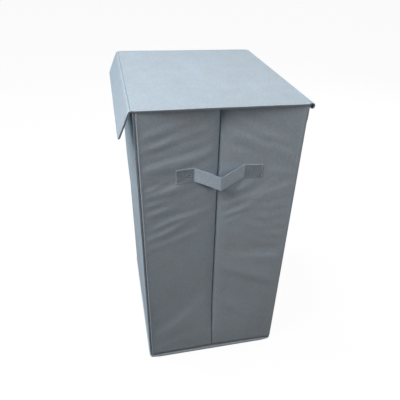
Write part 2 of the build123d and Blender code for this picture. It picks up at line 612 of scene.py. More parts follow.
@dataclass(frozen=True)
class Stitching:
    """A row of thread stitches along a line."""

    length: float = 3.0
    gap: float = 1.3
    thick: float = 0.55
    proud: float = 0.15
    blunt: float = 0.18

    def row(self, path: Array, out: Array) -> bpy.types.Object | None:
        """Lay stitches along a path.

        Args:
            path: Points of the line, in millimetres.
            out: The way out of the cloth along the line.

        Returns:
            One object with all the row's stitches, or None for a line shorter than a stitch.
        """
        marks = flat_measure(path)
        pitch = self.length + self.gap
        count = int(marks[-1] // pitch)
        if count < 1:
            return None
        start = (marks[-1] - count * pitch + self.gap) / 2.0
        first = self._stitch()
        copies = []
        for index in range(count):
            ends = [start + index * pitch, start + index * pitch + self.length]
            a, b = (Vector(point) for point in along_line(marks, path, np.array(ends)))
            copies.append(self._lay(first, a, b, Vector(out)))
        bpy.data.objects.remove(first)
        return Workbench.join(copies, "stitches")

    def _stitch(self) -> bpy.types.Object:
        """Model one stitch.

        Returns:
            A short thread with blunt ends, of unit length and thickness.
        """
        Workbench.clear_selection()
        bpy.ops.mesh.primitive_cylinder_add(
            vertices=6, radius=0.5, depth=1.0, rotation=(0.0, math.pi / 2, 0.0)
        )
        piece = bpy.context.object
        bpy.ops.object.transform_apply(rotation=True)
        bpy.ops.object.mode_set(mode="EDIT")
        bpy.ops.mesh.select_all(action="SELECT")
        bpy.ops.mesh.bevel(offset=self.blunt, segments=1, affect="EDGES")
        bpy.ops.object.mode_set(mode="OBJECT")
        return piece

    def _lay(self, first: bpy.types.Object, a: Vector, b: Vector, out: Vector) -> bpy.types.Object:
        """Copy the stitch to a place on the cloth.

        Args:
            first: The stitch to copy.
            a: Where the copy starts, in millimetres.
            b: Where it ends.
            out: The way out of the cloth.

        Returns:
            The copy, with its own mesh and its place in it.
        """
        copy = first.copy()
        copy.data = first.data.copy()
        bpy.context.collection.objects.link(copy)
        along = (b - a).normalized()
        side = out.cross(along).normalized()
        up = along.cross(side)
        turn = Matrix((along, side, up)).transposed().to_4x4()
        size = Matrix.Diagonal(((b - a).length * MM, self.thick * MM, self.thick * MM, 1.0))
        middle = (a + b) / 2.0 + up * (self.proud * self.thick)
        copy.data.transform(Matrix.Translation(middle * MM) @ turn @ size)
        return copy


@dataclass(frozen=True)
class Wiring:
    """A node tree, with a short way to add a node and feed it."""

    tree: bpy.types.NodeTree

    def add(self, kind: str, feeds: Feeds, **settings: object) -> bpy.types.Node:
        """Add a shader node.

        Args:
            kind: The node's type, without its ShaderNode prefix.
            feeds: For each input, by name or number, its value or the socket that feeds it.
            settings: The node's own properties.

        Returns:
            The node.
        """
        node = self.tree.nodes.new(f"ShaderNode{kind}")
        for label, value in settings.items():
            setattr(node, label, value)
        self.feed(node, feeds)
        return node

    def feed(self, node: bpy.types.Node, feeds: Feeds) -> None:
        """Set or link some of a node's inputs.

        Args:
            node: The node to feed.
            feeds: For each input, by name or number, its value or the socket that feeds it.
        """
        for label, value in feeds.items():
            if isinstance(value, Socket):
                self.tree.links.new(value, node.inputs[label])
            else:
                node.inputs[label].default_value = value

    def seen(self) -> Socket:
        """Tell what is seen from what only lights the scene.

        Returns:
            1 for what the camera sees, also in gloss and through glass, and 0 for the rest.
        """
        path = self.add("LightPath", {})
        share = path.outputs["Is Camera Ray"]
        for ray in ("Is Glossy Ray", "Is Transmission Ray"):
            either = self.add("Math", {0: share, 1: path.outputs[ray]}, operation="MAXIMUM")
            share = either.outputs["Value"]
        return share


class NodeGroups:
    """Shader node groups that several finishes share."""

    def __init__(self) -> None:
        """Build each group once."""
        self.emboss = self._emboss()
        self.mottle = self._mottle()

    @staticmethod
    def _new(
        name: str, per_metre: float, outputs: Sequence[str]
    ) -> tuple[Wiring, bpy.types.Node, bpy.types.Node]:
        """Start a group that takes a place and a scale.

        Args:
            name: The group's name.
            per_metre: The scale's default.
            outputs: Names of the number outputs.

        Returns:
            The group's wiring, its input node and its output node.
        """
        tree = bpy.data.node_groups.new(name, "ShaderNodeTree")
        sockets = tree.interface
        sockets.new_socket("Vector", in_out="INPUT", socket_type="NodeSocketVector")
        scale = sockets.new_socket("Per Metre", in_out="INPUT", socket_type="NodeSocketFloat")
        scale.default_value = per_metre
        for label in outputs:
            sockets.new_socket(label, in_out="OUTPUT", socket_type="NodeSocketFloat")
        source, result = (tree.nodes.new(f"NodeGroup{way}") for way in ("Input", "Output"))
        return Wiring(tree), source, result

    def _emboss(self) -> bpy.types.NodeTree:
        """Make the cloth's fine pattern.

        Returns:
            The small pressed dots that bond non-woven cloth, and its loose fibres.
        """
        wiring, source, result = self._new("pressed_dots", 600.0, ("Dots", "Fibres"))
        diagonal = {"Vector": source.outputs["Vector"], "Rotation": (0.0, 0.0, math.radians(45.0))}
        turn = wiring.add("Mapping", diagonal).outputs["Vector"]
        rate = {0: turn, "Scale": source.outputs["Per Metre"]}
        scale = wiring.add("VectorMath", rate, operation="SCALE").outputs["Vector"]
        cell = wiring.add("VectorMath", {0: scale}, operation="FRACTION").outputs["Vector"]
        middle = {0: cell, 1: (0.5, 0.5, 0.0)}
        centre = wiring.add("VectorMath", middle, operation="SUBTRACT").outputs["Vector"]
        reach = wiring.add("VectorMath", {0: centre}, operation="LENGTH").outputs["Value"]
        edge = {"Value": reach, "From Min": 0.16, "From Max": 0.42}
        dot = wiring.add("MapRange", edge, interpolation_type="SMOOTHSTEP")
        grain = {"Vector": scale, "Scale": 1.6, "Detail": 4.0, "Roughness": 0.7}
        fibre = wiring.add("TexNoise", grain)
        wiring.feed(result, {"Dots": dot.outputs["Result"], "Fibres": fibre.outputs["Fac"]})
        return wiring.tree

    def _mottle(self) -> bpy.types.NodeTree:
        """Make the cloth's coarse pattern.

        Returns:
            The cloudy unevenness of the web, and the specks of its thick places.
        """
        wiring, source, result = self._new("cloudy_web", 30.0, ("Cloud", "Speck"))
        for label, times, detail in (("Cloud", 1.0, 5.0), ("Speck", 9.0, 3.0)):
            rate = {0: source.outputs["Per Metre"], 1: times}
            scale = wiring.add("Math", rate, operation="MULTIPLY").outputs["Value"]
            grain = {"Scale": scale, "Detail": detail, "Roughness": 0.6}
            noise = wiring.add("TexNoise", {"Vector": source.outputs["Vector"], **grain})
            wiring.feed(result, {label: noise.outputs["Fac"]})
        return wiring.tree


@dataclass(frozen=True)
class ClothFinish:
    """A non-woven or woven cloth finish, with its colours in linear values.

    The pairs from crest to fibres are what the colour is multiplied by where a pattern is 0
    and where it is 1. crest paints light from the crease attribute: a painted highlight on
    the ridges of creases, and painted shade on the strap's sewn end.
    """

    name: str
    colour: Colour
    pale: Colour
    dots_per_metre: float = 560.0
    relief: float = 0.35
    roughness: float = 0.82
    sheen: float = 0.18
    # Painted light from the crease attribute: a painted highlight on crease ridges, painted shade
    # on the strap's sewn end.
    crest: Span = (1.0, 1.05)
    pressed: Span = (0.93, 1.025)
    specks: Span = (0.78, 1.22)
    fibres: Span = (0.93, 1.07)
    cloudy: Span = (0.3, 0.7)
    rough_spread: float = 0.08
    fuzz: float = 0.6
    lumps: float = 0.5
    depth_metres: float = 0.0004

    def build(self, groups: NodeGroups) -> bpy.types.Material:
        """Make the material.

        Args:
            groups: The shared node groups.

        Returns:
            The material, with its pattern laid along the cloth's own measures.
        """
        material = bpy.data.materials.new(self.name)
        material.use_nodes = True
        wiring = Wiring(material.node_tree)
        place = wiring.add("TexCoord", {}).outputs
        weave = {"Vector": place["UV"], "Per Metre": self.dots_per_metre}
        dots = wiring.add("Group", weave, node_tree=groups.emboss).outputs
        cloud = wiring.add("Group", {"Vector": place["Object"]}, node_tree=groups.mottle).outputs
        # The crease attribute carries painted light: crease ridges are painted lighter as a
        # highlight, and the strap's sewn end darker as shade.
        painted_light = wiring.add("Attribute", {}, attribute_name="crease").outputs["Fac"]
        colour = self._painted_shade_mask(wiring, cloud["Cloud"])
        colour = self._shade(wiring, colour, cloud["Speck"], self.specks)
        colour = self._shade(wiring, colour, dots["Fibres"], self.fibres)
        colour = self._shade(wiring, colour, dots["Dots"], self.pressed)
        colour = self._shade(wiring, colour, painted_light, self.crest)
        low, high = self.roughness - self.rough_spread, self.roughness + self.rough_spread
        rough = wiring.add("MapRange", {"Value": dots["Fibres"], "To Min": low, "To Max": high})
        height = self._layer(wiring, dots["Dots"], dots["Fibres"], self.fuzz)
        height = self._layer(wiring, height, cloud["Speck"], self.lumps)
        raised = {"Strength": self.relief, "Distance": self.depth_metres, "Height": height}
        surface = {
            "Base Color": colour,
            "Roughness": rough.outputs["Result"],
            "Normal": wiring.add("Bump", raised).outputs["Normal"],
            "Sheen Weight": self.sheen,
            "Sheen Roughness": 0.5,
            "Specular IOR Level": 0.3,
        }
        wiring.feed(material.node_tree.nodes["Principled BSDF"], surface)
        return material

    def _painted_shade_mask(self, wiring: Wiring, cloud: Socket) -> Socket:
        """Fade from the finish's colour to its pale one with the cloudy web.

        Args:
            wiring: The material's nodes.
            cloud: The web's unevenness.

        Returns:
            The colour.
        """
        low, high = self.cloudy
        ramp = wiring.add("MapRange", {"Value": cloud, "From Min": low, "From Max": high})
        fade = {0: ramp.outputs["Result"], 6: (*self.colour, 1.0), 7: (*self.pale, 1.0)}
        return wiring.add("Mix", fade, data_type="RGBA").outputs[2]

    @staticmethod
    def _shade(wiring: Wiring, colour: Socket, pattern: Socket, span: Span) -> Socket:
        """Darken or lighten a colour by a pattern.

        Args:
            wiring: The material's nodes.
            colour: The colour so far.
            pattern: The pattern, from 0 to 1.
            span: What the colour is multiplied by at 0 and at 1.

        Returns:
            The new colour.
        """
        ramp = wiring.add("MapRange", {"Value": pattern, "To Min": span[0], "To Max": span[1]})
        times = {0: colour, "Scale": ramp.outputs["Result"]}
        return wiring.add("VectorMath", times, operation="SCALE").outputs["Vector"]

    @staticmethod
    def _layer(wiring: Wiring, height: Socket, pattern: Socket, share: float) -> Socket:
        """Lay a pattern on a height.

        Args:
            wiring: The material's nodes.
            height: The height so far.
            pattern: The pattern, from 0 to 1.
            share: How much of the pattern is added.

        Returns:
            The new height.
        """
        feeds = {0: pattern, 1: share, 2: height}
        return wiring.add("Math", feeds, operation="MULTIPLY_ADD").outputs["Value"]


COVER = ClothFinish("cover_cloth", (0.444, 0.514, 0.572), (0.452, 0.562, 0.646))
LINING = ClothFinish("lining_cloth", (0.37, 0.41, 0.45), (0.41, 0.45, 0.49), sheen=0.1)
# The binding is the cover's cloth painted lighter: a painted highlight on the bottom rim and on
# the seam piping beside the front corners.
BINDING = ClothFinish("binding_cloth", (0.58, 0.69, 0.78), (0.62, 0.73, 0.82), 800.0)
WEBBING = ClothFinish(
    "strap_cloth",
    (0.592, 0.730, 0.848),
    (0.645, 0.785, 0.900),
    dots_per_metre=520.0,
    relief=0.6,
    # The sewn end is painted at 0.47 of the webbing's colour: painted shade.
    crest=(0.47, 1.0),
    pressed=(0.84, 1.06),
)
STRAP_THREAD = ClothFinish("strap_thread", (0.50, 0.60, 0.67), (0.55, 0.65, 0.72), 1500.0)
THREAD = ClothFinish("sewing_thread", (0.47, 0.555, 0.62), (0.52, 0.605, 0.67), 1500.0)


@dataclass
class Finishes:
    """Every material of the hamper."""

    groups: NodeGroups = field(default_factory=NodeGroups)

    def __post_init__(self) -> None:
        """Build the materials from their finishes."""
        self.cover = COVER.build(self.groups)
        self.lining = LINING.build(self.groups)
        self.binding = BINDING.build(self.groups)
        self.webbing = WEBBING.build(self.groups)
        self.strap_thread = STRAP_THREAD.build(self.groups)
        self.thread = THREAD.build(self.groups)


@dataclass(frozen=True)
class Sewing:
    """Rows of stitches that hold a hem or an edge."""

    thread: bpy.types.Material
    stitch: Stitching = Stitching()

    def sew(self, name: str, lines: Sequence[tuple[Array, Array]], body: str) -> None:
        """Model stitches along some lines, as one piece.

        Args:
            name: The piece's name.
            lines: For each line its points in millimetres and the way out of the cloth.
            body: The frame's body that the stitches ride on.
        """
        rows = [self.stitch.row(points, out) for points, out in lines]
        sewing = Workbench.join([row for row in rows if row is not None], name)
        sewing.data.materials.append(self.thread)
        Workbench.settle(sewing)
        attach(sewing, body)


@dataclass
class Gusset:
    """One side wall: a single cloth over two half boards, folded inwards along its middle."""

    SEAM_WAVES: ClassVar = ((0.2, 21.0, 0.0), (0.12, 7.3, 1.0))
    SLACK: ClassVar = Ripple(rise=0.35, pitch=140.0, phase=3.0)
    side: Side
    finishes: Finishes
    bottom_recess: float = 2.0
    low_recess: float = 15.5
    top_recess: float = 18.0
    low_heights: Span = (-5.0, 190.0)
    top_heights: Span = (190.0, 480.0)
    fold_pinch: float = 3.6
    pinch_reach: Span = (1.5, 0.2)
    fold_dip: float = 3.0
    fold_reach: float = 26.0
    roll_dip: float = 3.0
    roll_reach: float = 8.0
    drawn_heights: Span = (10.0, 120.0)
    gape: float = 4.0
    gape_reach: float = 15.0
    gape_heights: Span = (525.0, 590.0)
    front_gape: float = 0.4
    edge_calm: float = 12.0
    fold_calm: Span = (4.0, 22.0)
    bottom_calm: float = 16.0
    top_calm: float = 10.0
    seam_width: float = 2.6
    seam_rise: float = 0.9
    seam_root: float = 0.4
    seam_fuller: float = 0.9
    seam_full_heights: Span = (330.0, 90.0)
    seam_inset: float = 0.9
    seam_margin: float = 0.5
    seam_stray: float = 0.5
    wrap_start: float = 142.0
    wrap_end: float = 149.5
    wrap_thick: float = 0.5
    wrap_taper: float = 2.4
    wrap_turn: float = 1.2
    wrap_drawn: float = 0.5
    wrap_clear: float = 0.06
    hem_starts: Span = (80.0, 12.0)
    hem_end: float = 138.0
    flat_metres: Span = (0.292, 0.594)

    def recess(self, up: Array) -> Array:
        """How far the fold lies in from the corners at each height.

        Args:
            up: Heights above the floor.

        Returns:
            The fold's recess: small where the cloth is sewn to the straight rim, full above.
        """
        spread = smooth_step(*self.low_heights, up)
        low = self.bottom_recess + (self.low_recess - self.bottom_recess) * spread
        return low + (self.top_recess - self.low_recess) * smooth_step(*self.top_heights, up)

    def fold_in(self, across: Array, up: Array) -> Array:
        """How far a point of the wall lies in from the corners.

        Args:
            across: Places along Y on the unfolded wall.
            up: Heights above the floor.

        Returns:
            The straight lean of each half, with the cloth drawn in more beside the fold.
        """
        aside = np.abs(across)
        share = 1.0 - aside / SIZES.corner_y
        beside = self.fold_dip * np.clip(1.0 - aside / self.fold_reach, 0.0, 1.0) ** 2
        roll = self.roll_dip * np.clip(1.0 - aside / self.roll_reach, 0.0, 1.0) ** 2
        open_top = self.gape * np.where(across > 0, 1.0, self.front_gape)
        open_top = open_top * smooth_step(*self.gape_heights, up)
        open_top = open_top * np.clip(1.0 - aside / self.gape_reach, 0.0, 1.0) ** 1.5
        slit = self.fold_pinch * smooth_step(*self.pinch_reach, aside)
        drawn = (beside + roll) * smooth_step(*self.drawn_heights, up) + open_top
        return self.recess(up) * share + drawn + slit

    def relief(self) -> Relief:
        """Gather the creases that the folded cloth keeps.

        Returns:
            The creases of the front half and the rear half, and fine wrinkles over both.
        """
        front = (
            Crease((-144, 556), (-92, 571), 6.0, 0.8, 1.0),
            Crease((-146, 536), (-84, 551), 6.0, 1.3, -2.0),
            Crease((-142, 494), (-16, 526), 9.0, 2.4, -3.0),
            Crease((-138, 512), (-70, 533), 6.0, 0.9, 2.0),
            Crease((-144, 455), (-104, 466), 5.5, 1.2),
            Crease((-144, 440), (-36, 470), 8.0, 2.1, 2.0),
            Crease((-143, 421), (-104, 432), 5.5, 1.2),
            Crease((-143, 403), (-88, 416), 6.0, 1.2, -2.0),
            Crease((-124, 372), (-10, 402), 7.0, 1.7, 3.0),
            Crease((-140, 352), (-58, 378), 7.0, 1.4, -2.0),
            Crease((-128, 330), (-24, 352), 8.0, 0.8, 2.0),
            Crease((-138, 64), (-40, 156), 15.0, 1.8, -6.0),
            Crease((-146, 24), (-74, 46), 10.0, 1.0, 2.0),
        )
        rear = (
            Crease((16, 588), (84, 556), 9.0, 1.6, -3.0),
            Crease((12, 562), (74, 530), 8.0, 2.0, -3.0),
            Crease((50, 556), (140, 522), 9.0, 2.2, 4.0),
            Crease((70, 532), (142, 502), 8.0, 1.8, 3.0),
            Crease((14, 532), (60, 508), 7.0, 1.5, -2.0),
            Crease((92, 484), (144, 466), 8.0, 1.3, 2.0),
            Crease((14, 428), (62, 458), 7.0, 1.7, -2.0),
            Crease((14, 404), (98, 448), 8.0, 2.3, -4.0),
            Crease((44, 396), (140, 446), 9.0, 2.2, 3.0),
            Crease((14, 380), (66, 404), 6.5, 1.5, -2.0),
            Crease((12, 360), (54, 380), 6.0, 1.1),
            Crease((140, 196), (18, 254), 17.0, 2.0, 5.0),
            Crease((48, 278), (144, 269), 13.0, 2.0, 3.0),
            Crease((96, 92), (20, 150), 16.0, 1.2, 4.0),
        )
        fine = (
            Drape(13.0, 24.0, 0.3, 0.4),
            Drape(-24.0, 29.0, 0.24, 2.6),
            Ripple(0.5, 170.0, 0.4),
            Ripple(0.25, 70.0, 2.1),
        )
        return Relief(front + rear, fine)

    def crease_height(self, across: Array, up: Array) -> Array:
        """Height of the outer cloth's creases, calm near the fold and the edges.

        Args:
            across: Places along Y on the unfolded wall.
            up: Heights above the floor.

        Returns:
            How far the outer cloth stands out at each place.
        """
        aside = np.abs(across)
        calm = smooth_step(*self.fold_calm, aside)
        calm = calm * smooth_step(0.0, self.edge_calm, SIZES.corner_y - aside)
        calm = calm * smooth_step(0.0, self.bottom_calm, up - SIZES.wall_bottom)
        calm = calm * smooth_step(0.0, self.top_calm, SIZES.height - up)
        mirrored = across if self.side is Side.RIGHT else -across
        return calm * self.relief().height(mirrored, up)

    def outer(self, across: Array, up: Array) -> Array:
        """Outer face of the cloth.

        Args:
            across: Places along Y on the unfolded wall.
            up: Heights above the floor.

        Returns:
            Points of the outer face.
        """
        x = SIZES.corner_out - self.fold_in(across, up) + self.crease_height(across, up)
        x = x - bottom_tuck(up)
        y = across * (SIZES.cloth_corner_y / SIZES.corner_y)
        return np.column_stack([self.side.value * x, y, up])

    def inner(self, across: Array, up: Array) -> Array:
        """Inner face of the lining.

        Args:
            across: Places along Y on the unfolded wall.
            up: Heights above the floor.

        Returns:
            Points of the inner face, with a little slack between the edges.
        """
        slack = self.SLACK.height(across, up)
        slack = slack * smooth_step(0.0, self.edge_calm, SIZES.corner_y - np.abs(across))
        x = SIZES.corner_x - self.fold_in(across, up) + slack
        return np.column_stack([self.side.value * x, across, up])

    def build(self) -> None:
        """Model the wall's cloth, its corners, its hems and its strap."""
        fold = [0.0, 0.5, 1.0, 1.5, 2.3, 3.3, 4.5, 6.0]
        board = np.linspace(8.0, 139.0, 56)
        edge = [142.4, SIZES.corner_y]
        half = np.concatenate([fold, board, edge])
        columns = np.concatenate([-half[:0:-1], half])
        rows = wall_rows(15.0, 596.5, 234)
        name = f"{self.side.word}_gusset_cloth"
        cloth = ClothSheet(
            name, columns, rows, self.outer, self.inner, round_edge=1.1, crease=self.crease_height
        ).build(self.finishes.cover, self.finishes.lining)
        halves = [f"{self.side.word}_{end.word}_gusset" for end in End]
        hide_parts(*(f"{half}_{layer}" for half in halves for layer in LAYERS))
        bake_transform(cloth)
        self._front_seam()
        self._rear_wrap()
        for end in End:
            self._hems(end)
            Strap(self, end, self.finishes).build()

    def _hems(self, end: End) -> None:
        """Sew the bottom seam and the top hem of one half.

        Args:
            end: Which half.
        """
        out = np.array([float(self.side.value), 0.0, 0.0])
        lines = []
        for level, start in zip(HEM_LEVELS, self.hem_starts):
            across = end.value * np.linspace(start, self.hem_end, 40)
            lines.append((self.outer(across, np.full_like(across, level)), out))
        half = f"{self.side.word}_{end.word}_gusset"
        Sewing(self.finishes.thread).sew(f"{half}_stitches", lines, half)

    def seam_face(self, height: float, across: Array, up: Array) -> Array:
        """One face of the pinched seam that stands up beside the front corner.

        Args:
            height: How far the face stands above the cloth, or below it.
            across: Places over the seam's width.
            up: Heights above the floor.

        Returns:
            Points of the face: the upper one is crowned, and fuller low down.
        """
        y = across - (SIZES.corner_y - self.seam_inset)
        points = self.outer(y * SIZES.unfolded, up)
        stand = np.full_like(across, height)
        if height > 0:
            stand = stand * (1.0 + self.seam_fuller * smooth_step(*self.seam_full_heights, up))
            width = self.seam_width + 2.0 * self.seam_margin
            stand = stand * np.sin(np.pi * (across + self.seam_margin) / width)
        points[:, 0] += self.side.value * stand
        points[:, 1] = y - waver(up, *self.SEAM_WAVES) * min(height, self.seam_stray)
        return points

    def _front_seam(self) -> None:
        """Model the pinched seam beside the front corner."""
        half = f"{self.side.word}_front_gusset"
        columns = np.linspace(0.0, self.seam_width, 7)
        upper = partial(self.seam_face, self.seam_rise)
        lower = partial(self.seam_face, -self.seam_root)
        # The binding's lighter colour is a painted highlight on the seam piping.
        seam = ClothSheet(
            f"{half}_seam_cloth", columns, SEAM_ROWS, upper, lower, round_edge=0.3
        ).build(self.finishes.binding, self.finishes.binding)
        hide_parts(f"{half}_seam")
        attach(seam, half)

    def wrap_face(self, height: float, across: Array, up: Array) -> Array:
        """One face of the cloth that carries on round the rear corner.

        Args:
            height: How far the face stands above the cloth.
            across: Places along Y, from the gusset to the back wall's edge.
            up: Heights above the floor.

        Returns:
            Points of the face: the upper one runs in at the gusset and draws in at the wall.
        """
        points = self.outer(np.minimum(across, SIZES.corner_y), up)
        lift = height * smooth_step(self.wrap_start, self.wrap_start + self.wrap_taper, across)
        if height > 0:
            turn = smooth_step(self.wrap_end - self.wrap_turn, self.wrap_end, across)
            lift = lift - self.wrap_drawn * turn
        points[:, 0] += self.side.value * (lift + self.wrap_clear)
        points[:, 1] = across
        return points

    def _rear_wrap(self) -> None:
        """Model the cloth that carries on round the rear corner to the back wall's edge."""
        half = f"{self.side.word}_rear_gusset"
        columns = np.linspace(self.wrap_start, self.wrap_end, 15)
        upper = partial(self.wrap_face, self.wrap_thick)
        lower = partial(self.wrap_face, 0.0)
        wrap = ClothSheet(
            f"{half}_seam_cloth", columns, SEAM_ROWS, upper, lower, round_edge=0.0
        ).build(self.finishes.cover, self.finishes.cover)
        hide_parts(f"{half}_seam")
        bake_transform(wrap)


@dataclass
class Strap:
    """Half of a carrying strap: its sewn end and its free run to the crease in the middle."""

    BOX_STITCH: ClassVar = Stitching(length=2.6, gap=1.2, thick=0.65)
    wall: Gusset
    end: End
    finishes: Finishes
    thick: float = 1.3
    clear: float = 0.1
    overlap: float = 1.0
    tip_reach: float = 0.9
    tip_gap: float = 0.12
    lift_share: float = 0.16
    bow_shares: Span = (0.55, 0.45)
    sag_shares: Span = (0.8, 0.2)
    edge: float = 1.0
    stitch_inset: float = 3.0

    def centre(self, along: Array, up: Array) -> tuple[Array, Array]:
        """Middle of the strap's thickness, and the way out of its face.

        Args:
            along: Places from the sewn end's outer edge.
            up: Places across the strap, from its lower edge.

        Returns:
            Points along the strap, and unit vectors out of its outer face.
        """
        side, face = self.wall.side.value, self.end.value
        patch = SIZES.strap_patch
        sewn_y = SIZES.strap_pivot_y + self.overlap + patch - np.minimum(along, patch)
        level = SIZES.strap_top - SIZES.strap_width + up
        base = self.wall.outer(face * sewn_y * SIZES.unfolded, level)
        base[:, 0] += side * (self.clear + self.thick / 2.0)
        free = np.clip((along - patch) / self.free_run, 0.0, 1.0)
        lift = smooth_step(0.0, self.lift_share, free)
        tip_x = SIZES.strap_pivot_x + SIZES.strap_bow + self.tip_reach
        start_x = np.abs(base[:, 0])
        steady, lifted = self.bow_shares
        x = start_x + (tip_x - start_x) * (free * (steady + lifted * lift))
        y = (SIZES.strap_pivot_y + self.overlap) * (1.0 - free)
        straight, curved = self.sag_shares
        sag = SIZES.strap_droop * (straight * free + curved * free * free)
        run = along > patch
        hanging = np.column_stack([side * x, face * y, level - sag])
        points = np.where(run[:, None], hanging, base)
        slope = np.where(run, math.atan2(SIZES.strap_bow, SIZES.strap_pivot_y) * lift, 0.0)
        out = np.column_stack([side * np.cos(slope), face * np.sin(slope), np.zeros_like(along)])
        return points, out

    def painted_shade_mask(self, along: Array, up: Array) -> Array:
        """Mask of the strap's painted shade: the sewn end is painted darker as shade, the free run
        and the folded edges stay pale.

        Args:
            along: Places from the sewn end's outer edge.
            up: Places across the strap, from its lower edge.

        Returns:
            1 where it stays pale, 0 over the sewn end, which is painted darker as shade.
        """
        rim = (up < self.edge) | (up > SIZES.strap_width - self.edge) | (along < self.edge)
        return ((along >= SIZES.strap_patch) | rim).astype(float)

    @property
    def free_run(self) -> float:
        """Length of the free half."""
        return math.hypot(SIZES.strap_pivot_y, SIZES.strap_bow, SIZES.strap_droop)

    def face_at(self, offset: float, along: Array, up: Array) -> Array:
        """One face of the strap.

        Args:
            offset: How far the face lies from the middle of the strap's thickness.
            along: Places from the sewn end's outer edge.
            up: Places across the strap, from its lower edge.

        Returns:
            Points of the face, on their own side of the crease.
        """
        points, out = self.centre(along, up)
        points = points + out * offset
        face = self.end.value
        points[:, 1] = face * np.maximum(face * points[:, 1], self.tip_gap)
        return points

    def build(self) -> None:
        """Model the webbing and the box of stitches on its sewn end."""
        patch, width = SIZES.strap_patch, SIZES.strap_width
        sewn = np.linspace(4.5, patch - 2.0, 12)
        free = np.linspace(patch, patch + self.free_run, 26)
        columns = np.concatenate([[0.0, 2.5], sewn, free])
        middle = np.linspace(3.0, width - 3.0, 9)
        rows = np.concatenate([[0.0, 1.6], middle, [width - 1.6, width]])
        upper = partial(self.face_at, self.thick / 2)
        lower = partial(self.face_at, -self.thick / 2)
        half = f"{self.wall.side.word}_{self.end.word}"
        # The strap's crease attribute is the mask of its painted shade over the sewn end.
        strap = ClothSheet(
            f"{half}_strap_cloth", columns, rows, upper, lower, round_edge=0.35, crease=self.painted_shade_mask
        ).build(self.finishes.webbing, self.finishes.webbing)
        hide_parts(f"{half}_strap_end", f"{half}_strap")
        gusset = f"{half}_gusset"
        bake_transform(strap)
        self._sew(gusset, half)

    def _sew(self, gusset: str, half: str) -> None:
        """Sew a box and close rows onto the strap's end.

        Args:
            gusset: The body that the stitches ride on.
            half: The strap half's name.
        """
        low = near = self.stitch_inset
        high, far = SIZES.strap_width - low, SIZES.strap_patch - near
        corners = [(near, low), (far, low), (far, high), (near, high)]
        lines = [(corners[k], corners[(k + 1) % 4]) for k in range(4)]
        lines += [((near, level), (far, level)) for level in np.linspace(low, high, 6)[1:-1]]
        lines += [((mark, low), (mark, high)) for mark in np.linspace(near, far, 8)[1:-1]]
        paths = []
        for first, last in lines:
            along = np.linspace(first[0], last[0], 12)
            up = np.linspace(first[1], last[1], 12)
            points, out = self.centre(along, up)
            paths.append((points + out * (self.thick / 2), out[0]))
        sewing = Sewing(self.finishes.strap_thread, self.BOX_STITCH)
        sewing.sew(f"{half}_strap_stitches", paths, gusset)


